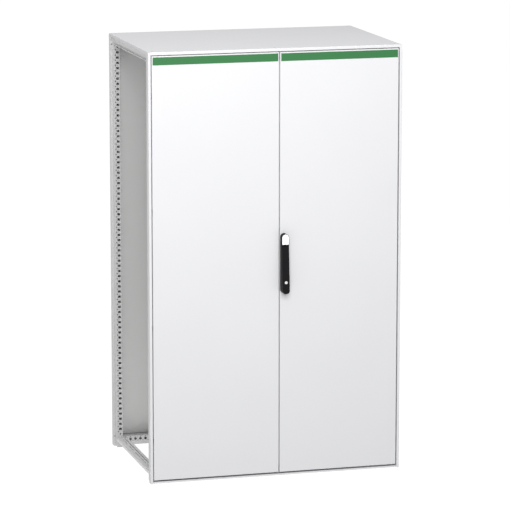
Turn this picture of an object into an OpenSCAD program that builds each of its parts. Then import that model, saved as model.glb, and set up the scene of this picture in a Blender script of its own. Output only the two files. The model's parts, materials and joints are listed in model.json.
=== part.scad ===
// Floor-standing switchboard cabinet: a bolted frame with a roof, a rear panel and two unequal
// front doors. Both sides and the floor are open. The front faces -Y and the origin is on the
// floor, at the centre of the plan.

/* [Cabinet] */
// Overall width
cabinet_w = 1200; // [1100:25:1400]
// Overall depth
cabinet_d = 800; // [600:25:1000]
// Overall height
cabinet_h = 2000; // [1800:25:2200]
// Thickness of the frame's sheet steel
sheet_t = 2; // [1.5:0.5:2.5]
// Pitch of the frame's rows of holes
hole_pitch = 25; // [25:25:25]

/* [Front trim] */
// Width of the rim at the sides
rim_side_w = 12; // [11:0.5:13]
// Height of the rim above the doors
rim_top_h = 13; // [12:0.5:14]
// Height of the rim below the doors
rim_bottom_h = 10; // [9:0.5:11]
// Depth of the rim, front to back
rim_depth = 25; // [25:1:25]

/* [Doors] */
// Where the doors meet, measured from the cabinet's centre line
split_x = 15; // [-20:1:20]
// Gap between a door and the rim, and between the two doors
door_gap = 4; // [4:0.5:5]
// Gap below the doors
door_bottom_gap = 7; // [5:1:9]
// Thickness of a door
door_t = 20; // [20:1:20]
// Radius of a door's front edges
door_edge_r = 4; // [3:0.5:4]
// Height of the coloured band on each door
band_h = 36; // [30:1:45]
// Number of hinges on each door
hinge_count = 4; // [3:1:5]

/* [Handle] */
// Height of the spindle above the floor
spindle_z = 1130; // [1000:1:1200]
// Width of the handle
handle_w = 34; // [30:1:34]
// Distance of the handle's centre from the door's free edge
handle_inset = 18; // [18:0.5:20]
// Height of the handle's lower end above the floor
handle_low_z = 868; // [850:1:880]
// Height of the lock cylinder above the floor
lock_z = 923; // [910:1:935]
// Radius of the lock cylinder
lock_r = 6.8; // [6:0.1:8]

/* [Hidden] */
$fn = 48;

// Colours
door_grey = "#F2F3F5";
frame_grey = "#D2D3D3";
rear_grey = "#B4B4B2";
band_green = "#4B8E59";
zinc_grey = "#A9ABAD";
seal_black = "#2A2B2C";

half_w = cabinet_w / 2;
half_d = cabinet_d / 2;

// Frame section: u runs inwards from the side plane, v inwards from the front or rear plane
post_u = 38;
post_v = 71;
step_u = 8;
step_v = 40;
rear_gap_v = 6;
flange_u = 60;
rear_flange_u = 52;
corner_h = 45;
frame_top_z = 1992 - 2000 + cabinet_h;
rail_low_z = 10;
rail_h = 42;
front_flange_z = 60;
web_hole = [14, 11];
web_hole_u = 26;
screw_hole_r = 2.75;
screw_hole_z = 49;
stud_hole_r = 3.25;
stud_hole_u = 16;
bolt_hole_r = 6.5;
first_hole_z = 90.5;
hole_rows = floor((cabinet_h - 7 * hole_pitch) / hole_pitch);
rail_hole_r = 6.5;
rail_holes = floor((cabinet_w - 2 * 50) / hole_pitch);
slot_pitch = 5 * hole_pitch;

// Doors
door_y = -half_d;
door_back_y = door_y + door_t;
door_low_z = rim_bottom_h + door_bottom_gap;
door_top_z = cabinet_h - rim_top_h - door_gap;
left_door_x = [-half_w + rim_side_w + door_gap, split_x - door_gap / 2];
right_door_x = [split_x + door_gap / 2, half_w - rim_side_w - door_gap];
flange_y = door_y + rim_depth;
return_w = 12;
free_return_w = 6;
seal_t = 4.7;
seal_side_u = 44;
seal_w = 12;
seal_top_u = 20;
stiffener_w = 26;

// Hinges: the pin sits hinge_in from the door's edge and from its front face
hinge_in = 6;
pin_r = 2.5;
knuckle_r = 3.8;
knuckle_h = 30;
ear_h = 5;
hinge_first_z = 200;
hinge_pitch = (cabinet_h - 2 * hinge_first_z) / (hinge_count - 1);
running_gap = 0.05;

// Handle and locking gear
handle_x = right_door_x[0] + handle_inset;
handle_top_z = spindle_z + 17;
base_t = 4;
pivot_y = door_y - 19;
pivot_z = spindle_z - 31;
pivot_r = 12;
head_front_y = pivot_y - pivot_r;
lever_top_z = pivot_z - pivot_r;
lever_back_y = door_y - base_t - 0.6;
lever_low_front_y = door_y - 46;
eye_r = 8;
tongue_w = 10;
tongue_t = 10;
shaft_side = 8;
pinion_r = 8;
teeth = 12;
tooth_pitch = 2 * PI * pinion_r / teeth;
rod_travel = pinion_r * PI / 2;
rod_y = [door_y + 26, door_y + 34];
rod_x = 11.5;
rod_w = 4;
rod_tip_z = cabinet_h - front_flange_z + 11;
lower_tip_z = front_flange_z - 11;
case_x = 15.8;
case_y = [door_back_y, door_back_y + 20];
case_h = 28;
bolt_x = split_x - 15;
bolt_w = 6;
bolt_len = 160;

// ---------- helpers ----------

// A box between the given limits in x, y and z
module box(x, y, z)
    translate([x[0], y[0], z[0]]) cube([x[1] - x[0], y[1] - y[0], z[1] - z[0]]);

// An outline drawn in x and z, given the thickness t from y0 towards the back
module plate_xz(y0, t)
    translate([0, y0 + t, 0]) rotate([90, 0, 0]) linear_extrude(t) children();

// An outline drawn in y and z, given the thickness t from x0 towards the right
module plate_yz(x0, t)
    translate([x0, 0, 0]) rotate([90, 0, 90]) linear_extrude(t) children();

module rect(x, y) translate([x[0], y[0]]) square([x[1] - x[0], y[1] - y[0]]);

// Puts a piece drawn in u and v at one corner of the plan
module at_corner(right, rear)
    translate([right ? half_w : -half_w, rear ? half_d : -half_d, 0])
        mirror([right ? 1 : 0, 0, 0]) mirror([0, rear ? 1 : 0, 0]) children();

// Turns a piece at the floor into its partner under the roof
module upside_down() translate([0, 0, cabinet_h]) mirror([0, 0, 1]) children();

module flip_x(on) mirror([on ? 1 : 0, 0, 0]) children();

// ---------- frame ----------

// The row of holes that a face of an upright carries, centred at the distance c from its edge
module post_holes(c) {
    for (i = [0:hole_rows])
        translate([c, first_hole_z + i * hole_pitch]) square(web_hole, center = true);
}

// The face of an upright that looks across the depth: holes, studs and marks in rows
module post_face() difference() {
    rect([step_u, post_u], [corner_h, cabinet_h - corner_h]);
    post_holes(web_hole_u);
    for (z = [first_hole_z - hole_pitch, first_hole_z + (hole_rows + 1) * hole_pitch])
        translate([web_hole_u, z]) circle(stud_hole_r);
    for (i = [-1:hole_rows])
        translate([stud_hole_u, first_hole_z + (i + 0.5) * hole_pitch]) circle(stud_hole_r);
    for (i = [0:hole_rows - 1])
        translate([web_hole_u, first_hole_z + (i + 0.5) * hole_pitch]) circle(1.25, $fn = 16);
}

// The face of an upright that looks across the width
module post_side_face(v0) difference() {
    rect([v0, post_v], [corner_h, cabinet_h - corner_h]);
    post_holes((v0 + post_v) / 2 + 4);
}

module front_post() {
    linear_extrude(cabinet_h - 2 * corner_h) {
        rect([step_u, step_u + sheet_t], [rim_depth, post_v]);
        rect([step_u, post_u], [rim_depth, rim_depth + sheet_t]);
    }
}

module front_upright(right) color(frame_grey) at_corner(right, false) {
    translate([0, 0, corner_h]) front_post();
    box([rim_side_w, flange_u], [rim_depth, rim_depth + sheet_t], [rail_low_z, frame_top_z]);
    plate_xz(post_v - sheet_t, sheet_t) post_face();
    plate_yz(post_u - sheet_t, sheet_t) post_side_face(rim_depth);
}

module rear_post_section() {
    rect([0, sheet_t], [rear_gap_v, step_v]);
    rect([0, step_u + sheet_t], [step_v - sheet_t, step_v]);
    rect([step_u, step_u + sheet_t], [step_v - sheet_t, post_v]);
    rect([0, rear_flange_u], [rear_gap_v, rear_gap_v + sheet_t]);
}

module rear_upright(right) color(frame_grey) at_corner(right, true) {
    difference() {
        translate([0, 0, corner_h]) linear_extrude(cabinet_h - 2 * corner_h) rear_post_section();
        for (z = [screw_hole_z, cabinet_h - screw_hole_z])
            translate([step_u / 2 + 1, step_v + 1, z])
                rotate([90, 0, 0]) cylinder(r = screw_hole_r, h = sheet_t + 2);
    }
    plate_xz(post_v - sheet_t, sheet_t) post_face();
    plate_yz(post_u - sheet_t, sheet_t) post_side_face(rear_gap_v);
}

// The outline of a corner seen from the front, with its lower edges rounded
module corner_profile(u0, u1, low, high, r) {
    rect([u0, u1], [low + r, high]);
    rect([u0 + r, u1 - r], [low, high]);
    for (u = [u0 + r, u1 - r]) translate([u, low + r]) circle(r);
}

// A die-cast corner that joins an upright to two rails, drilled for a floor bolt
module corner_block(rear, low, side_low) {
    v0 = rear ? rear_gap_v : rim_depth + sheet_t;
    difference() {
        union() {
            plate_xz(v0, post_v - v0) corner_profile(step_u, post_u, low, corner_h, 5);
            if (rear)
                plate_xz(v0, step_v - v0) corner_profile(0, 12, side_low, corner_h, 2);
        }
        translate([(step_u + post_u) / 2, (rim_depth + post_v) / 2, -1])
            cylinder(r = bolt_hole_r, h = corner_h + 2);
    }
}

module base_corner(right, rear) color(frame_grey)
    at_corner(right, rear) corner_block(rear, 0, 0);

// A top corner stops below the roof, and its outer part meets the roof's skirt
module top_corner(right, rear) color(frame_grey) upside_down()
    at_corner(right, rear) corner_block(rear, cabinet_h - frame_top_z, cabinet_h - roof_low_z);

// The inner side of a front or rear rail is a narrow box, drilled on its inner wall
rail_box_v = 45;
module rail_box() {
    x = [-half_w + post_u, half_w - post_u];
    plate_xz(post_v - sheet_t, sheet_t) rail_wall();
    box(x, [rail_box_v, rail_box_v + sheet_t], [rail_low_z, rail_low_z + rail_h]);
    box(x, [rail_box_v, post_v], [rail_low_z + rail_h - sheet_t, rail_low_z + rail_h]);
}

// The perforated wall of a front or rear rail, seen from inside the cabinet
module rail_wall() difference() {
    rect([-half_w + post_u, half_w - post_u], [rail_low_z, rail_low_z + rail_h]);
    for (i = [0:rail_holes])
        translate([(i - rail_holes / 2) * hole_pitch, 0]) {
            translate([0, 37]) circle(rail_hole_r);
            translate([0, 48]) circle(2, $fn = 16);
        }
    for (i = [0:rail_holes - 1])
        translate([(i + 0.5 - rail_holes / 2) * hole_pitch, 29]) circle(2, $fn = 16);
}

// A rail across the width, drawn at the rear: u of the section is z, v is the depth
module rear_rail() mirror([0, 1, 0]) translate([0, -half_d, 0]) {
    rail_box();
    box([-half_w + post_u, half_w - post_u], [rear_gap_v, post_v], [rail_low_z, rail_low_z + sheet_t]);
    box([-half_w + rear_flange_u, half_w - rear_flange_u], [rear_gap_v, rear_gap_v + sheet_t],
        [rail_low_z, rail_low_z + 38]);
}

// The front rail's sealing flange is notched where a rod or a bolt passes behind it
module front_rail(rod) {
    inner_x = half_w - flange_u;
    translate([0, -half_d, 0]) {
        rail_box();
        box([-half_w + post_u, half_w - post_u], [rim_depth + sheet_t, post_v],
            [rail_low_z, rail_low_z + sheet_t]);
        plate_xz(rim_depth, sheet_t) difference() {
            rect([-inner_x, inner_x], [rail_low_z, front_flange_z]);
            rect([rod - rod_w, rod + rod_w], [front_flange_z - 14, front_flange_z + 1]);
            rect([bolt_x - 5, bolt_x + 5], [front_flange_z - 14, front_flange_z + 1]);
        }
    }
}

module base_rail_front() color(frame_grey) front_rail(handle_x + rod_x);
module top_rail_front() color(frame_grey) upside_down() front_rail(handle_x - rod_x);
module base_rail_rear() color(frame_grey) rear_rail();
module top_rail_rear() color(frame_grey) upside_down() rear_rail();

// Section of a base side rail: outer wall, slotted top, groove and inner flange
base_side_low_z = 32;
base_side_top_z = 44;
groove_u = [43.5, 47];
groove_low_z = 24;
base_side_u = 62;
module base_side_section() {
    rect([step_u, step_u + sheet_t], [base_side_low_z, base_side_top_z]);
    rect([step_u, groove_u[0]], [base_side_top_z - sheet_t, base_side_top_z]);
    rect([groove_u[0] - sheet_t, groove_u[0]], [groove_low_z, base_side_top_z]);
    rect([step_u, groove_u[0]], [base_side_low_z, base_side_low_z + sheet_t]);
    rect([groove_u[0] - sheet_t, groove_u[1] + sheet_t], [groove_low_z, groove_low_z + sheet_t]);
    rect([groove_u[1], groove_u[1] + sheet_t], [groove_low_z, base_side_top_z]);
    rect([groove_u[1], base_side_u], [base_side_top_z - sheet_t, base_side_top_z]);
    rect([base_side_u - sheet_t, base_side_u], [22, base_side_top_z]);
}

// The rail is flush with the recessed side of the uprights
module base_side_rail(right) color(frame_grey) flip_x(right) translate([-half_w, 0, 0]) difference() {
    translate([0, half_d - post_v, 0]) rotate([90, 0, 0])
        linear_extrude(cabinet_d - 2 * post_v) base_side_section();
    for (i = [-2:2])
        box([30, 32.5], [i * slot_pitch - 50, i * slot_pitch + 50],
            [base_side_top_z - sheet_t - 1, base_side_top_z + 1]);
}

// Section of a top side rail, hung under the roof: leaning face, lower lip and inner channel
top_lip_z = 1954 - 2000 + cabinet_h;
top_lip_h = 3;
module top_side_section() {
    polygon([[step_u + 1, frame_top_z], [14, top_lip_z + top_lip_h], [14, top_lip_z], [14 + sheet_t, top_lip_z],
        [14 + sheet_t, top_lip_z + top_lip_h], [step_u + 1 + sheet_t, frame_top_z]]);
    rect([step_u - 2, 14 + sheet_t], [top_lip_z, top_lip_z + top_lip_h]);
    rect([step_u, post_u], [frame_top_z - sheet_t, frame_top_z]);
    rect([post_u - sheet_t, post_u], [top_lip_z, frame_top_z]);
}

module top_side_rail(right) color(frame_grey) flip_x(right) translate([-half_w, 0, 0])
    translate([0, half_d - post_v, 0]) rotate([90, 0, 0])
        linear_extrude(cabinet_d - 2 * post_v) top_side_section();

// ---------- front trim ----------

trim_r = 3;
trim_end_r = 5;

// Outline of a trim bar w wide, with its outer front edge rounded
module trim_outline(w) {
    rect([0, w], [trim_r, rim_depth]);
    rect([trim_r, w], [0, rim_depth]);
    translate([trim_r, trim_r]) circle(trim_r);
}

// The section of a trim bar, hollow from behind
module trim_section(w) difference() {
    trim_outline(w);
    rect([sheet_t, w - sheet_t], [sheet_t, rim_depth + 1]);
}

// A side bar seen from the front, with round lower corners
module trim_side_front() {
    rect([0, rim_side_w], [trim_end_r, cabinet_h - trim_r]);
    rect([trim_end_r, rim_side_w - trim_end_r], [0, cabinet_h]);
    rect([trim_r, rim_side_w], [cabinet_h / 2, cabinet_h]);
    for (u = [trim_end_r, rim_side_w - trim_end_r]) translate([u, trim_end_r]) circle(trim_end_r);
    translate([trim_r, cabinet_h - trim_r]) circle(trim_r);
}

module trim_side(right) color(door_grey) flip_x(right) translate([-half_w, -half_d, 0])
    difference() {
        intersection() {
            linear_extrude(cabinet_h) trim_outline(rim_side_w);
            plate_xz(-1, rim_depth + 2) trim_side_front();
        }
        box([sheet_t, rim_side_w - sheet_t], [sheet_t, rim_depth + 1],
            [trim_end_r, cabinet_h - trim_r]);
    }

module trim_top() color(door_grey) translate([-half_w + rim_side_w, -half_d, cabinet_h])
    rotate([0, 90, 0]) linear_extrude(cabinet_w - 2 * rim_side_w) difference() {
        trim_section(rim_top_h);
        rect([-1, 4], [4, rim_depth + 1]);
    }

module trim_bottom() color(door_grey) translate([half_w - rim_side_w, -half_d, 2.5])
    rotate([0, -90, 0]) linear_extrude(cabinet_w - 2 * rim_side_w) trim_section(rim_bottom_h - 2.5);

// ---------- roof ----------

roof_low_z = frame_top_z - 4;
roof_front_y = -half_d + 4.4;
roof_r = 4;
roof_lip_x = half_w - rim_side_w;

// Roof outline across the width: its sides lean in and meet the top in a small chamfer
roof_side_t = 6;
roof_lean = 3;
roof_chamfer = 1.5;
module roof_profile() polygon([[-half_w, roof_low_z],
    [-half_w + roof_lean, cabinet_h - roof_chamfer],
    [-half_w + roof_lean + roof_chamfer, cabinet_h],
    [half_w - roof_lean - roof_chamfer, cabinet_h],
    [half_w - roof_lean, cabinet_h - roof_chamfer],
    [half_w, roof_low_z]]);

module roof_side_profile() {
    rect([-half_d + rim_depth, half_d], [roof_low_z, cabinet_h - roof_r]);
    rect([-half_d + rim_depth, half_d - roof_r], [roof_low_z, cabinet_h]);
    translate([half_d - roof_r, cabinet_h - roof_r]) circle(roof_r);
}

roof_screw_x = half_w - 27;
roof_screw_y = [-half_d + 35, half_d - 27];
module at_roof_screws()
    for (x = [-roof_screw_x, 0, roof_screw_x], y = roof_screw_y)
        translate([x, y, cabinet_h - sheet_t]) children();

// A shallow tray turned over, with a lip that runs forward over the upper trim
module roof_panel() color(frame_grey) difference() {
    union() {
        difference() {
            intersection() {
                plate_xz(-half_d, cabinet_d) roof_profile();
                plate_yz(-half_w, cabinet_w) roof_side_profile();
            }
            box([-half_w + roof_side_t, half_w - roof_side_t], [-half_d + rim_depth - 1, half_d - sheet_t],
                [roof_low_z - 1, cabinet_h - sheet_t]);
        }
        box([-roof_lip_x, roof_lip_x], [roof_front_y, -half_d + rim_depth + 1],
            [cabinet_h - sheet_t, cabinet_h]);
    }
    at_roof_screws() translate([0, 0, -1]) cylinder(r = 4, h = sheet_t + 2);
}

module roof_seal() color(seal_black) translate([0, 0, frame_top_z])
    linear_extrude(cabinet_h - sheet_t - frame_top_z) difference() {
        rect([-half_w + 12, half_w - 12], [-half_d + 40, half_d - 12]);
        rect([-half_w + 22, half_w - 22], [-half_d + 50, half_d - 22]);
    }

// Roof screws are sunk flush: plain plugs with a socket
module roof_screws() color(zinc_grey) at_roof_screws() difference() {
    translate([0, 0, -4]) cylinder(r = 4, h = 4 + sheet_t);
    translate([0, 0, 0]) cylinder(r = 2, h = 3, $fn = 6);
}

// ---------- rear panel ----------

rear_x = half_w - 1.5;
rear_z = [14, roof_low_z - 1];
rear_screw_x = half_w - 20;
rear_screw_rows = 6;
module at_rear_screws()
    for (x = [-rear_screw_x, rear_screw_x], i = [0:rear_screw_rows - 1])
        translate([x, half_d - sheet_t, 80 + i * (cabinet_h - 160) / (rear_screw_rows - 1)])
            rotate([-90, 0, 0]) children();

module rear_panel() color(rear_grey) difference() {
    box([-rear_x, rear_x], [half_d - 5.5, half_d], rear_z);
    box([-rear_x + sheet_t, rear_x - sheet_t], [half_d - 6, half_d - sheet_t],
        [rear_z[0] + sheet_t, rear_z[1] - sheet_t]);
    at_rear_screws() translate([0, 0, -1]) cylinder(r = 3, h = sheet_t + 2);
}

module rear_panel_seal() color(seal_black) plate_xz(half_d - rear_gap_v, rear_gap_v - sheet_t)
    difference() {
        rect([-half_w + 37, half_w - 37], [37, cabinet_h - 37]);
        rect([-half_w + 49, half_w - 49], [49, cabinet_h - 49]);
    }

module rear_panel_screws() color(zinc_grey) at_rear_screws() difference() {
    translate([0, 0, -4]) cylinder(r = 3, h = 4 + sheet_t);
    cylinder(r = 1.6, h = 3, $fn = 6);
}

// ---------- hinges, drawn about the pin of a door hung on the left ----------

function hinge_z(i) = hinge_first_z + i * hinge_pitch;

// Children are drawn about a pin of the left door; the right door's are mirrored
module at_hinges(right) for (i = [0:hinge_count - 1])
    flip_x(right) translate([left_door_x[0] + hinge_in, door_y + hinge_in, hinge_z(i)]) children();

leaf_y = rim_depth - hinge_in;
module frame_leaf() difference() {
    union() {
        cylinder(r = knuckle_r, h = knuckle_h, center = true);
        translate([0, 0, -knuckle_h / 2]) linear_extrude(knuckle_h)
            polygon([[-1.73, 1], [3, 9.2], [3, leaf_y - 3], [7, leaf_y - 3], [7, 8.1], [1.73, -1]]);
        box([-8, 16], [leaf_y - 3, leaf_y], [-knuckle_h / 2, knuckle_h / 2]);
        box([-8, 16], [leaf_y - 3, leaf_y], [-26, 26]);
    }
    cylinder(r = pin_r + running_gap, h = knuckle_h + 2, center = true);
}

module frame_hinge_leaves() color(zinc_grey) for (right = [false, true]) at_hinges(right) frame_leaf();

// The door's leaf: a plate against the inside of the front sheet with an ear at each end
module door_leaf() difference() {
    union() {
        for (side = [-1, 1]) translate([0, 0, side * (knuckle_h / 2 + 0.3 + ear_h / 2)]) {
            cylinder(r = knuckle_r, h = ear_h, center = true);
            box([0, 12], [-hinge_in + sheet_t, 2], [-ear_h / 2, ear_h / 2]);
        }
        box([8, 19], [-hinge_in + sheet_t, -hinge_in + 2 * sheet_t], [-20.3, 20.3]);
    }
    cylinder(r = pin_r, h = 60, center = true);
}

module hinge_pin() cylinder(r = pin_r, h = knuckle_h + 0.6 + 2 * ear_h, center = true);

module left_door_hinge_leaves() color(zinc_grey) at_hinges(false) door_leaf();
module right_door_hinge_leaves() color(zinc_grey) at_hinges(true) door_leaf();
module left_hinge_pins() color(zinc_grey) at_hinges(false) hinge_pin();
module right_hinge_pins() color(zinc_grey) at_hinges(true) hinge_pin();

// ---------- doors ----------

module front_rounded(a, b) {
    rect([a, b], [door_edge_r, door_t]);
    rect([a + door_edge_r, b - door_edge_r], [0, door_t]);
    for (c = [a + door_edge_r, b - door_edge_r]) translate([c, door_edge_r]) circle(door_edge_r);
}

// A folded door tray: left and right are the widths of its rear returns
module door_tray(x, left, right) difference() {
    intersection() {
        translate([0, door_y, door_low_z]) linear_extrude(door_top_z - door_low_z)
            front_rounded(x[0], x[1]);
        translate([x[0], door_y, 0]) rotate([90, 0, 90]) linear_extrude(x[1] - x[0])
            mirror([1, -1]) front_rounded(door_low_z, door_top_z);
    }
    box([x[0] + sheet_t, x[1] - sheet_t], [door_y + sheet_t, door_back_y - sheet_t],
        [door_low_z + sheet_t, door_top_z - sheet_t]);
    box([x[0] + left, x[1] - right], [door_back_y - 3, door_back_y + 1],
        [door_low_z + return_w, door_top_z - return_w]);
}

// The pocket in a door's folded edge that lets the frame's hinge leaf swing through
module hinge_pocket() box([-hinge_in - 1, 9], [-3.5, door_t], [-knuckle_h / 2 - 1, knuckle_h / 2 + 1]);

module left_door_panel() color(door_grey) difference() {
    door_tray(left_door_x, return_w, free_return_w);
    at_hinges(false) hinge_pocket();
}

module right_door_panel() color(door_grey) difference() {
    door_tray(right_door_x, free_return_w, return_w);
    at_hinges(true) hinge_pocket();
    translate([handle_x, door_y + 3, spindle_z]) rotate([90, 0, 0]) cylinder(r = 6.5, h = 4);
}

// Coloured band, laid on the front of a door just below its upper edge
band_inset = 5;
band_t = 0.3;
module door_band(x) color(band_green)
    box([x[0] + band_inset, x[1] - band_inset], [door_y - band_t, door_y],
        [door_top_z - 6 - band_h, door_top_z - 6]);
module left_door_band() door_band(left_door_x);
module right_door_band() door_band(right_door_x);

// A channel of the stiffener frame, drawn upright and open to the front sheet
module channel_web(w, l) difference() {
    square([w, l]);
    for (i = [1:floor(l / hole_pitch) - 1]) translate([w / 2, i * hole_pitch]) circle(3.5, $fn = 24);
}

module channel(w, l) {
    depth = door_t - sheet_t;
    plate_xz(depth - sheet_t, sheet_t) channel_web(w, l);
    for (x = [0, w - sheet_t]) box([x, x + sheet_t], [0, depth], [0, l]);
}

bar_z = [68, cabinet_h - 68 - stiffener_w];
module stiffener(x) color(frame_grey) translate([0, door_y + sheet_t, 0]) {
    for (a = [x[0], x[1] - stiffener_w])
        translate([a, 0, 32]) channel(stiffener_w, cabinet_h - 64);
    for (z = [bar_z[0], (bar_z[0] + bar_z[1]) / 2, bar_z[1]])
        translate([x[0] + stiffener_w + 1, 0, z + stiffener_w]) rotate([0, 90, 0])
            channel(stiffener_w, x[1] - x[0] - 2 * stiffener_w - 2);
}
module left_door_stiffener() stiffener([-half_w + seal_side_u - 2, bolt_x - 14]);
module right_door_stiffener() stiffener([handle_x + 17, half_w - seal_side_u + 2]);

// Door seal: a flat strip round the door, open at the edge where the doors meet
module door_seal(side_x, free_x) color(seal_black) plate_xz(door_back_y, seal_t) difference() {
    rect([min(side_x, free_x), max(side_x, free_x)], [seal_top_u, cabinet_h - seal_top_u]);
    inner = side_x < free_x ? [side_x + seal_w, free_x + 1] : [free_x - 1, side_x - seal_w];
    rect(inner, [seal_top_u + seal_w, cabinet_h - seal_top_u - seal_w]);
}
module left_door_seal() door_seal(-half_w + seal_side_u, left_door_x[1] - 2);
module right_door_seal() door_seal(half_w - seal_side_u, right_door_x[0] + 2);

module centre_seal_strip() color(frame_grey)
    box([left_door_x[1], left_door_x[1] + 2.8], [door_y + 8, door_y + 16],
        [door_low_z + 36, door_top_z - 36]);

// ---------- locking gear ----------

// A bar of the lock with a pointed tip that ends at tip_z
module bar_to(x, w, from_z, tip_z) {
    up = tip_z > from_z ? 1 : -1;
    plate_xz(rod_y[0], rod_y[1] - rod_y[0])
        polygon([[x - w / 2, from_z], [x + w / 2, from_z], [x + w / 2, tip_z - up * 3],
            [x + w / 2 - 1, tip_z], [x - w / 2 + 1, tip_z], [x - w / 2, tip_z - up * 3]]);
}

// Rack teeth on a rod: outwards is the side of the spindle that the rod is on
module rack(side, first, last) plate_xz(rod_y[0], rod_y[1] - rod_y[0])
    for (i = [first:last]) translate([handle_x, spindle_z + (i + 0.5) * tooth_pitch])
        polygon([[side * 9.8, -1.3], [side * 9.3, -1.2], [side * 7, -0.4],
            [side * 7, 0.4], [side * 9.3, 1.2], [side * 9.8, 1.3]]);

module upper_rod() color(zinc_grey) {
    bar_to(handle_x - rod_x, rod_w, spindle_z - 8.5, rod_tip_z);
    rack(-1, -2, 4);
}
module lower_rod() color(zinc_grey) {
    bar_to(handle_x + rod_x, rod_w, spindle_z + 8.5, lower_tip_z);
    rack(1, -5, 1);
}

module pinion_outline() union() {
    circle(6.7);
    for (i = [0:teeth - 1]) rotate(i * 360 / teeth)
        polygon([[5, -1.3], [6.7, -1.2], [9, -0.45], [9, 0.45], [6.7, 1.2], [5, 1.3]]);
}

module spindle_pinion() color(zinc_grey) translate([handle_x, 0, spindle_z]) {
    plate_xz(rod_y[0], rod_y[1] - rod_y[0]) pinion_outline();
    translate([0, case_y[1], 0]) rotate([90, 0, 0]) cylinder(r = 4, h = case_y[1] - rod_y[1]);
    box([-shaft_side / 2, shaft_side / 2], [door_y - 14, rod_y[0]], [-shaft_side / 2, shaft_side / 2]);
}

module gear_case() color(zinc_grey) translate([handle_x, 0, spindle_z]) difference() {
    union() {
        box([-case_x, case_x], case_y, [-case_h, case_h]);
        box([-9, 9], [door_y + sheet_t, case_y[0] + 1], [-14, 14]);
    }
    box([-14.2, 14.2], [case_y[0] + sheet_t, case_y[1] - sheet_t], [-case_h + 2, case_h - 2]);
    translate([0, case_y[0] + 3, 0]) rotate([90, 0, 0]) cylinder(r = 6.5, h = 25);
    translate([0, case_y[1] + 1, 0]) rotate([90, 0, 0]) cylinder(r = 4 + running_gap, h = 4);
    for (side = [-1, 1])
        box([side * rod_x - 2.3, side * rod_x + 2.3], [rod_y[0] - 0.3, rod_y[1] + 0.3],
            side < 0 ? [case_h - 3, case_h + 1] : [-case_h - 1, -case_h + 3]);
}

// A guide block with a slot: x is the bar's centre, w its width
module guide(x, w, z, x0, x1) difference() {
    box([x0, x1], [door_back_y, rod_y[1] + 3], [z - 8, z + 8]);
    box([x - w / 2 - 0.3, x + w / 2 + 0.3], [rod_y[0] - 0.3, rod_y[1] + 0.3], [z - 9, z + 9]);
}

module rod_guides() color(seal_black) {
    for (z = [spindle_z + 300, spindle_z + 620])
        guide(handle_x - rod_x, rod_w, z, right_door_x[0] + 1, handle_x - 5);
    for (z = [spindle_z - 340, spindle_z - 680, 160])
        guide(handle_x + rod_x, rod_w, z, right_door_x[0] + 1, handle_x + 16.5);
}

bolt_guide_z = 110;
module left_bolt_guides() color(seal_black)
    for (z = [bolt_guide_z, cabinet_h - bolt_guide_z], dz = [-22, 22])
        guide(bolt_x, bolt_w, z + dz, bolt_x - 13.5, left_door_x[1] - 1);

// A shoot bolt of the left door, with a knob behind it for the hand
module lower_bolt() {
    bar_to(bolt_x, bolt_w, lower_tip_z + bolt_len, lower_tip_z);
    translate([bolt_x, rod_y[1] + 12, lower_tip_z + bolt_len - 12])
        rotate([90, 0, 0]) cylinder(r = 7, h = 12);
}
module left_lower_bolt() color(zinc_grey) lower_bolt();
module left_upper_bolt() color(zinc_grey) upside_down() lower_bolt();

// Keepers: a cheek on each side of a rod or bolt and a bridge past its tip, open to the front
module keeper(x, half) translate([x, 0, 0]) {
    y = [flange_y + sheet_t, rod_y[1] + 4];
    for (s = [-1, 1])
        box([s > 0 ? half : -half - 3, s > 0 ? half + 3 : -half], y, [lower_tip_z - 6, front_flange_z]);
    box([-half - 3, half + 3], y, [lower_tip_z - 9, lower_tip_z - 6]);
}
module rod_keepers() color(zinc_grey) {
    keeper(handle_x + rod_x, rod_w);
    keeper(bolt_x, 5);
    upside_down() {
        keeper(handle_x - rod_x, rod_w);
        keeper(bolt_x, 5);
    }
}

// ---------- handle ----------

// Outline of the handle between two heights, with round ends of the radius of its half width
module handle_outline(low, high, inset = 0) {
    r = handle_w / 2 - inset;
    translate([handle_x, 0]) {
        rect([-r, r], [low + r + inset, high - r - inset]);
        for (z = [low + r + inset, high - r - inset]) translate([0, z]) circle(r);
    }
}

// Plan of the handle, square behind and rounded along its front edges, with its front at y = 0
handle_edge_r = 2;
module handle_plan() {
    r = handle_w / 2 - handle_edge_r;
    translate([handle_x, 0]) {
        rect([-r, r], [0, 60]);
        rect([-r - handle_edge_r, r + handle_edge_r], [handle_edge_r, 60]);
        for (x = [-r, r]) translate([x, handle_edge_r]) circle(handle_edge_r);
    }
}

module handle_base() color("#1E1F20") difference() {
    plate_xz(door_y - base_t, base_t) handle_outline(handle_low_z, handle_top_z);
    translate([handle_x, door_y + 1, spindle_z]) rotate([90, 0, 0])
        cylinder(r = 9 + running_gap, h = base_t + 2);
}

// Side outline of the head: a block above the pivot, round about the pivot in front and below
module head_side() {
    rect([head_front_y, lever_back_y], [pivot_z, handle_top_z]);
    translate([pivot_y, pivot_z]) circle(pivot_r);
    rect([pivot_y, lever_back_y], [lever_top_z, pivot_z + 1]);
}

// Room for the lever's tongue as it swings out from below
module tongue_slot() {
    translate([pivot_y, pivot_z]) circle(eye_r + 0.5);
    polygon([[pivot_y + 5.5, pivot_z - 20], [pivot_y + 5.5, pivot_z], [pivot_y - 3.9, pivot_z + 3.9],
        [pivot_y - 14, pivot_z - 6.2], [pivot_y - 14, pivot_z - 20]]);
}

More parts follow.
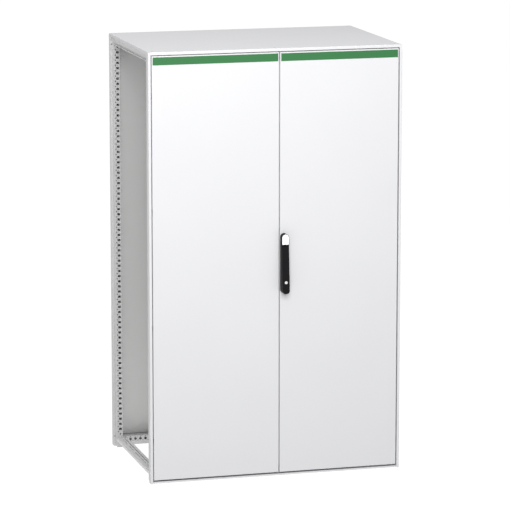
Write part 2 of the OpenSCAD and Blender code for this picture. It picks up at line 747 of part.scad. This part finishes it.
module handle_head() color("#1E1F20") difference() {
    union() {
        intersection() {
            plate_xz(door_y - 40, 40) {
                handle_outline(spindle_z - 30, handle_top_z);
                translate([handle_x, 0])
                    rect([-handle_w / 2, handle_w / 2], [lever_top_z, spindle_z]);
            }
            plate_yz(handle_x - 20, 40) head_side();
            translate([0, head_front_y, lever_top_z - 1]) linear_extrude(80) handle_plan();
        }
        translate([handle_x, door_y - 0.3, spindle_z]) rotate([90, 0, 0])
            cylinder(r = 9, h = base_t + 2);
    }
    handle_cap();
    plate_yz(handle_x - tongue_w / 2 - 0.3, tongue_w + 0.6) tongue_slot();
    translate([handle_x, pivot_y, pivot_z]) rotate([0, 90, 0])
        cylinder(r = 2.5, h = handle_w - 8, center = true);
    box([handle_x - shaft_side / 2, handle_x + shaft_side / 2], [door_y - 14, door_y + 1],
        [spindle_z - shaft_side / 2, spindle_z + shaft_side / 2]);
}

// The pale cap let into the front of the head: an arch with a straight lower edge
cap_t = 1.2;
module handle_cap() color("#F4F5F6") plate_xz(head_front_y, cap_t) intersection() {
    handle_outline(spindle_z - 60, handle_top_z, handle_edge_r);
    translate([handle_x, 0])
        rect([-handle_w / 2, handle_w / 2], [pivot_z - 1, handle_top_z]);
}

module lever_pivot_pin() color(zinc_grey) translate([handle_x, pivot_y, pivot_z])
    rotate([0, 90, 0]) cylinder(r = 2.5, h = handle_w - 8, center = true);

// Side outline of the lever: its front slopes, so that it is deepest near the lower end
lever_front_y = head_front_y - 1;
lever_low_r = 8;
lever_slope = atan((lever_front_y - lever_low_front_y) / (lever_top_z - handle_low_z - lever_low_r));
module lever_side() {
    c = [lever_low_front_y + lever_low_r + 0.4, handle_low_z + lever_low_r];
    polygon([[lever_back_y, lever_top_z + 6], [lever_back_y, handle_low_z], [c[0], handle_low_z],
        c, [lever_low_front_y + 0.4, c[1]], [lever_front_y, lever_top_z + 3.5]]);
    translate(c) circle(lever_low_r);
}

module handle_lever() color("#1E1F20") difference() {
    union() {
        difference() {
            intersection() {
                plate_xz(door_y - 60, 60) {
                    handle_outline(handle_low_z, lever_top_z);
                    translate([handle_x, 0])
                        rect([-handle_w / 2, handle_w / 2], [lock_z, lever_top_z + 3.5]);
                }
                plate_yz(handle_x - 20, 40) lever_side();
                translate([0, lever_front_y, lever_top_z + 3.5]) rotate([180 - lever_slope, 0, 0])
                    mirror([0, 1, 0]) linear_extrude(300) handle_plan();
            }
            plate_yz(handle_x - 20, 40) {
                translate([pivot_y, pivot_z]) circle(pivot_r + 0.4);
                rect([pivot_y, door_y], [lever_top_z - 0.4, pivot_z]);
            }
        }
        plate_yz(handle_x - tongue_w / 2, tongue_w) {
            translate([pivot_y, pivot_z]) circle(eye_r);
            rect([pivot_y - tongue_t / 2, pivot_y + tongue_t / 2], [lever_top_z - 12, pivot_z]);
        }
    }
    translate([handle_x, pivot_y, pivot_z]) rotate([0, 90, 0])
        cylinder(r = 2.5 + running_gap, h = tongue_w + 2, center = true);
    translate([handle_x, door_y - 30, lock_z]) rotate([90, 0, 0])
        cylinder(r = lock_r + running_gap, h = 40);
}

module lock_cylinder() color(zinc_grey) difference() {
    translate([handle_x, door_y - 30, lock_z]) rotate([90, 0, 0]) cylinder(r = lock_r, h = 14.5);
    box([handle_x - 0.8, handle_x + 0.8], [door_y - 48, door_y - 42.5], [lock_z - 3.5, lock_z + 3.5]);
}

// ---------- nodes ----------

front_upright(false);  // front_left_upright
front_upright(true);  // front_right_upright
rear_upright(false);  // rear_left_upright
rear_upright(true);  // rear_right_upright
base_corner(false, false);  // base_corner_front_left
base_corner(true, false);  // base_corner_front_right
base_corner(false, true);  // base_corner_rear_left
base_corner(true, true);  // base_corner_rear_right
top_corner(false, false);  // top_corner_front_left
top_corner(true, false);  // top_corner_front_right
top_corner(false, true);  // top_corner_rear_left
top_corner(true, true);  // top_corner_rear_right
base_rail_front();
base_rail_rear();
base_side_rail(false);  // base_rail_left
base_side_rail(true);  // base_rail_right
top_rail_front();
top_rail_rear();
top_side_rail(false);  // top_rail_left
top_side_rail(true);  // top_rail_right
trim_side(false);  // trim_left
trim_side(true);  // trim_right
trim_top();
trim_bottom();
roof_panel();
roof_seal();
roof_screws();
rear_panel();
rear_panel_seal();
rear_panel_screws();
frame_hinge_leaves();
rod_keepers();
left_door_panel();
left_door_band();
left_door_stiffener();
left_door_seal();
left_door_hinge_leaves();
left_hinge_pins();
centre_seal_strip();
left_bolt_guides();
left_upper_bolt();
left_lower_bolt();
right_door_panel();
right_door_band();
right_door_stiffener();
right_door_seal();
right_door_hinge_leaves();
right_hinge_pins();
handle_base();
gear_case();
rod_guides();
upper_rod();
lower_rod();
spindle_pinion();
handle_head();
handle_cap();
handle_lever();
lever_pivot_pin();
lock_cylinder();
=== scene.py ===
import json
import math

import bmesh
import bpy
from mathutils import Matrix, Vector


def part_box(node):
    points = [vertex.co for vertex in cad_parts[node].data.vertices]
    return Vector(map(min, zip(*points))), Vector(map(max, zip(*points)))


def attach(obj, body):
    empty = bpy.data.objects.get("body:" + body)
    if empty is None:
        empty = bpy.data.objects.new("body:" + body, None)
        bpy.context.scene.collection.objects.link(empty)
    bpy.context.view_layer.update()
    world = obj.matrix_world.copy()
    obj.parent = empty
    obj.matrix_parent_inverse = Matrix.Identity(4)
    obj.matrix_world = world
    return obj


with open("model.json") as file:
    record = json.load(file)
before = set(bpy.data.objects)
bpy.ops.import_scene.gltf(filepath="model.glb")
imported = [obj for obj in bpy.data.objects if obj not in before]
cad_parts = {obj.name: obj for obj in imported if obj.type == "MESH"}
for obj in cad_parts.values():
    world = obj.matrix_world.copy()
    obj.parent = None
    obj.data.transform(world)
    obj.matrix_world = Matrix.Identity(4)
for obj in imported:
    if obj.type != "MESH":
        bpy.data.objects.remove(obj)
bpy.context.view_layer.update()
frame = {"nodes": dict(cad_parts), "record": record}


# ---------- materials ----------

# Scales of the noise textures, from coarse to fine.
CLOUD_SCALE = 3.0
METAL_GRAIN_SCALE = 160.0
PEEL_SCALE = 420.0
FOAM_CELL_SCALE = 700.0
PLASTIC_GRAIN_SCALE = 900.0

METAL_GRAIN_STRETCH = (1, 1, 0.08)


def srgb(r, g, b):
    """A colour given as 8-bit screen values, as the linear values that a shader takes."""
    def lin(v):
        v = v / 255
        return v / 12.92 if v <= 0.04045 else ((v + 0.055) / 1.055) ** 2.4
    return (lin(r), lin(g), lin(b), 1)


def shade(colour, k):
    """A colour made darker or lighter by the factor k."""
    return (colour[0] * k, colour[1] * k, colour[2] * k, 1)


class Nodes:
    """A material's node tree, with short calls for the nodes that the finishes share."""

    def __init__(self, name):
        self.mat = bpy.data.materials.new(name)
        self.mat.use_nodes = True
        self.tree = self.mat.node_tree
        self.shader = self.tree.nodes["Principled BSDF"]
        self.coords = self.add("ShaderNodeTexCoord").outputs["Object"]

    def add(self, kind, **inputs):
        node = self.tree.nodes.new(kind)
        for key, value in inputs.items():
            node.inputs[key.replace("_", " ")].default_value = value
        return node

    def link(self, source, target):
        self.tree.links.new(source, target)

    def set(self, **inputs):
        """Sets constants on the shader's own sockets."""
        for key, value in inputs.items():
            self.shader.inputs[key.replace("_", " ")].default_value = value

    def noise(self, scale, detail=2.0, rough=0.5, stretch=None):
        node = self.add("ShaderNodeTexNoise", Scale=scale, Detail=detail, Roughness=rough)
        source = self.coords
        if stretch:
            mapping = self.add("ShaderNodeMapping", Scale=stretch)
            self.link(source, mapping.inputs["Vector"])
            source = mapping.outputs["Vector"]
        self.link(source, node.inputs["Vector"])
        return node.outputs["Fac"]

    def colour(self, source, *stops):
        """Base colour, run between two stops, each a value of the source and a colour."""
        node = self.add("ShaderNodeValToRGB")
        for mark, (place, colour) in zip(node.color_ramp.elements, stops):
            mark.position = place
            mark.color = colour
        self.link(source, node.inputs["Fac"])
        self.link(node.outputs["Color"], self.shader.inputs["Base Color"])

    def roughness(self, source, low, high):
        node = self.add("ShaderNodeMapRange", To_Min=low, To_Max=high)
        self.link(source, node.inputs["Value"])
        self.link(node.outputs["Result"], self.shader.inputs["Roughness"])

    def bump(self, source, strength, distance):
        node = self.add("ShaderNodeBump", Strength=strength, Distance=distance)
        self.link(source, node.inputs["Height"])
        self.link(node.outputs["Normal"], self.shader.inputs["Normal"])


def enamel(name, colour, rough=0.42, texture=1.0):
    """Powder coat: a fine orange peel and a faint cloudiness."""
    n = Nodes(name)
    cloud = n.noise(CLOUD_SCALE, detail=3.0)
    n.colour(cloud, (0.3, shade(colour, 0.985)), (0.7, shade(colour, 1.0)))
    peel = n.noise(PEEL_SCALE, rough=0.6)
    n.roughness(peel, rough - 0.04, rough + 0.05)
    n.bump(peel, strength=0.06 * texture, distance=0.0004)
    n.set(Specular_IOR_Level=0.4)
    return n.mat


def steel(name, colour, rough=0.34, metallic=1.0):
    """Plated metal, or metal blackened to a dull oxide: a fine grain along z."""
    n = Nodes(name)
    grain = n.noise(METAL_GRAIN_SCALE, detail=3.0, rough=0.6, stretch=METAL_GRAIN_STRETCH)
    n.colour(grain, (0.25, shade(colour, 0.82)), (0.75, shade(colour, 1.0)))
    n.roughness(grain, rough - 0.08, rough + 0.12)
    n.bump(grain, strength=0.08, distance=0.0002)
    n.set(Metallic=metallic)
    return n.mat


def plastic(name, colour, rough=0.45, strength=0.12, specular=0.45):
    """Moulded plastic with a fine spark-eroded grain."""
    n = Nodes(name)
    grain = n.noise(PLASTIC_GRAIN_SCALE, rough=0.7)
    n.colour(grain, (0.3, shade(colour, 0.9)), (0.7, shade(colour, 1.05)))
    n.roughness(grain, rough - 0.05, rough + 0.08)
    n.bump(grain, strength=strength, distance=0.0002)
    n.set(Specular_IOR_Level=specular)
    return n.mat


def foam(name, colour):
    """Foamed-in seal: dull, with a skin of small cells."""
    n = Nodes(name)
    cells = n.noise(FOAM_CELL_SCALE, detail=4.0, rough=0.7)
    n.colour(cells, (0.3, shade(colour, 0.7)), (0.7, shade(colour, 1.3)))
    n.bump(cells, strength=0.3, distance=0.0005)
    n.set(Roughness=0.85, Specular_IOR_Level=0.25)
    return n.mat


BY_SLOT = {
    "door_enamel": enamel("door_enamel", srgb(200, 200, 202)),
    "frame_enamel": enamel("frame_enamel", srgb(199, 199, 199), rough=0.5),
    "roof_enamel": enamel("roof_enamel", srgb(200, 200, 202), rough=0.45),
    # Painted light: the rear panel's enamel is lighter than the frame's same paint, lifting
    # the shade that falls inside the cabinet.
    "rear_enamel": enamel("rear_enamel", srgb(210, 210, 209), rough=0.5),
    "band_green": enamel("band_green", srgb(37, 102, 53), rough=0.55, texture=0.5),
    "strip_grey": plastic("strip_grey", srgb(190, 190, 192), rough=0.55),
    "seal_rubber": foam("seal_foam", srgb(34, 34, 36)),
    "guide_nylon": plastic("guide_nylon", srgb(40, 40, 42)),
    "zinc_steel": steel("zinc_steel", srgb(196, 198, 200)),
    "handle_black": plastic("handle_black", srgb(17, 17, 19), rough=0.5, specular=0.1),
    "cap_white": plastic("cap_white", srgb(246, 247, 248), rough=0.35, strength=0.05),
    "lock_metal": steel("lock_nickel", srgb(238, 238, 236), rough=0.42),
}
# Painted light: a lighter copy of the frame enamel for the base rails, which wear the same
# paint as the frame.
BASE_RAIL_PAINTED_LIGHT = enamel("base_rail_painted_light", srgb(217, 217, 217), rough=0.5)
OXIDE = steel("insert_oxide", srgb(26, 26, 28), rough=0.7, metallic=0.0)
# Painted shade: a dark foam finish for the strips that darken the base rails' grooves.
GROOVE_SHADE_STRIP = foam("groove_painted_shade", srgb(84, 84, 86))

slot_of = {s["node"]: s["material_slot"] for s in frame["record"]["subparts"]}
for name, obj in frame["nodes"].items():
    obj.data.materials.clear()
    obj.data.materials.append(BY_SLOT[slot_of[name]])
# The base rails take the lighter copy, painted light on the frame's own paint.
for name in ("base_rail_left", "base_rail_right"):
    frame["nodes"][name].data.materials[0] = BASE_RAIL_PAINTED_LIGHT


# ---------- new pieces ----------

HALF_WIDTH = 0.6
HEIGHT = 2.0


def into_scene(name, bm, material):
    """Turns a finished bmesh into an object of the scene and frees it."""
    bmesh.ops.recalc_face_normals(bm, faces=bm.faces)
    mesh = bpy.data.meshes.new(name)
    bm.to_mesh(mesh)
    bm.free()
    mesh.materials.append(material)
    obj = bpy.data.objects.new(name, mesh)
    bpy.context.scene.collection.objects.link(obj)
    return obj


def bridge(bm, near, far):
    """A band of faces between two closed rings of vertices."""
    count = len(near)
    for i in range(count):
        j = (i + 1) % count
        bm.faces.new((near[i], near[j], far[j], far[i]))


# Threaded inserts for side panel screws, in the stepped faces of the rear uprights.
INSERT_R = 0.0027
INSERT_BORE_R = 0.0021
INSERT_DEPTH = 0.011
INSERT_FACETS = 32
INSERT_SUNK = 0.0003      # how far the mouth lies behind the step's face
STEP_DEPTH = 0.034        # from the upright's rear edge to the step's face
FROM_SIDE = 0.005         # from the upright's outer edge to an insert's centre
FROM_END = 0.049          # from the floor or the top to an insert's centre


def insert(bm, x, y, z):
    """A blind insert, lathed about a line along y, with its mouth at y and facing forwards."""
    wall = INSERT_R - INSERT_BORE_R
    profile = [
        (INSERT_BORE_R, INSERT_DEPTH - wall),
        (INSERT_BORE_R, wall / 2),
        (INSERT_BORE_R + wall / 2, 0.0),
        (INSERT_R - wall / 4, 0.0),
        (INSERT_R, wall / 4),
        (INSERT_R, INSERT_DEPTH - wall),
        (INSERT_R - wall, INSERT_DEPTH),
    ]
    rings = []
    for radius, depth in profile:
        ring = []
        for i in range(INSERT_FACETS):
            a = 2 * math.pi * i / INSERT_FACETS
            ring.append(bm.verts.new((x + radius * math.cos(a), y + depth,
                                      z + radius * math.sin(a))))
        rings.append(ring)
    for near, far in zip(rings, rings[1:]):
        bridge(bm, near, far)
    bm.faces.new(rings[0])
    bm.faces.new(list(reversed(rings[-1])))


low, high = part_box("rear_left_upright")
bm = bmesh.new()
for side in (-1, 1):
    for z in (FROM_END, HEIGHT - FROM_END):
        insert(bm, side * (abs(low[0]) - FROM_SIDE), high[1] - STEP_DEPTH + INSERT_SUNK, z)
inserts = into_scene("side_screw_inserts", bm, OXIDE)
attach(inserts, "frame")


# Dark strips that stand in the grooves of the base side rails: painted shade, a dark piece put
# where the grooves only lie in shade. The groove's walls are measured inward from the
# cabinet's side.
GROOVE_FROM = 0.0435
GROOVE_TO = 0.047
STRIP_TOP = 0.0432
STRIP_H = 0.0169
STRIP_CROWN = 0.18        # the crown's rise, as a share of the strip's width
STRIP_STEPS = 8
STRIP_PLAY = 0.0001       # between the strip and each wall of the groove
STRIP_END_GAP = 0.001     # between the strip and each end of the rail


def crowned_strip(bm, x0, x1, y0, y1):
    """A strip along y with a low crown across x."""
    crown = (x1 - x0) * STRIP_CROWN
    foot = STRIP_TOP - STRIP_H
    outline = [(x0, foot)]
    for i in range(STRIP_STEPS + 1):
        t = i / STRIP_STEPS
        outline.append((x0 + (x1 - x0) * t, STRIP_TOP - crown * (2 * t - 1) ** 2))
    outline.append((x1, foot))
    front, back = ([bm.verts.new((x, y, z)) for x, z in outline] for y in (y0, y1))
    bridge(bm, front, back)
    bm.faces.new(front)
    bm.faces.new(list(reversed(back)))


for side, out in (("left", -1), ("right", 1)):
    low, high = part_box("base_rail_" + side)
    x0, x1 = sorted(out * (HALF_WIDTH - inward)
                    for inward in (GROOVE_FROM + STRIP_PLAY, GROOVE_TO - STRIP_PLAY))
    bm = bmesh.new()
    crowned_strip(bm, x0, x1, low[1] + STRIP_END_GAP, high[1] - STRIP_END_GAP)
    strip = into_scene("groove_shade_strip_" + side, bm, GROOVE_SHADE_STRIP)
    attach(strip, "frame")


# ---------- stage, light and camera ----------

FLOOR_SIZE = 60
FLOOR_Z = -0.0005         # just below the feet, so the two don't share a plane
FLOOR_SHADES = (0.1, 0.105)
FLOOR_GLOW = 0.985
SKY = 0.25

CAMERA_PLACE = (-3.8616, -14.0624, 3.7060)
CAMERA_TURN = math.radians(15.387)
CAMERA_TILT = math.radians(10.611)
CAMERA_LENS = 221.94
SENSOR_WIDTH = 36
CLIP_END = 100


def floor_material():
    """Pale paper that glows a little, as a sweep lit from behind does."""
    n = Nodes("floor_paper")
    darker, lighter = FLOOR_SHADES
    cloud = n.noise(0.7, detail=3.0)
    n.colour(cloud, (0.3, (darker, darker, darker, 1)), (0.7, (lighter, lighter, lighter, 1)))
    n.set(Roughness=0.9, Specular_IOR_Level=0.0, Emission_Color=(1, 1, 1, 1),
          Emission_Strength=FLOOR_GLOW)
    return n.mat


def aim(direction):
    """The turn of a lamp or camera that looks along a direction."""
    return direction.to_track_quat("-Z", "Y").to_euler()


def area(name, place, target, size, power):
    data = bpy.data.lights.new(name, "AREA")
    data.energy = power
    data.size = size
    lamp = bpy.data.objects.new(name, data)
    bpy.context.scene.collection.objects.link(lamp)
    lamp.location = place
    lamp.rotation_euler = aim(Vector(target) - Vector(place))


bpy.ops.mesh.primitive_plane_add(size=FLOOR_SIZE, location=(0, 0, FLOOR_Z))
floor = bpy.context.object
floor.name = "floor"
floor.data.materials.append(floor_material())

world = bpy.data.worlds.new("studio")
bpy.context.scene.world = world
world.use_nodes = True
background = world.node_tree.nodes["Background"]
background.inputs["Color"].default_value = (1, 1, 1, 1)
background.inputs["Strength"].default_value = SKY

area("key", place=(-0.8, -4.2, 3.3), target=(0, -0.4, 1.62), size=2.5, power=206)
area("top", place=(0, 0, 7.0), target=(0, 0, 0), size=4.0, power=226)
area("left", place=(-4.5, 0.2, 4.5), target=(0, 0.2, 1.3), size=2.5, power=52)

bpy.context.scene.view_settings.view_transform = "Standard"

camera_data = bpy.data.cameras.new("camera")
camera_data.sensor_width = SENSOR_WIDTH
camera_data.lens = CAMERA_LENS
camera_data.clip_end = CLIP_END
camera = bpy.data.objects.new("camera", camera_data)
bpy.context.scene.collection.objects.link(camera)
camera.location = CAMERA_PLACE
camera.rotation_euler = aim(Vector((
    math.sin(CAMERA_TURN) * math.cos(CAMERA_TILT),
    math.cos(CAMERA_TURN) * math.cos(CAMERA_TILT),
    -math.sin(CAMERA_TILT))))
bpy.context.scene.camera = camera
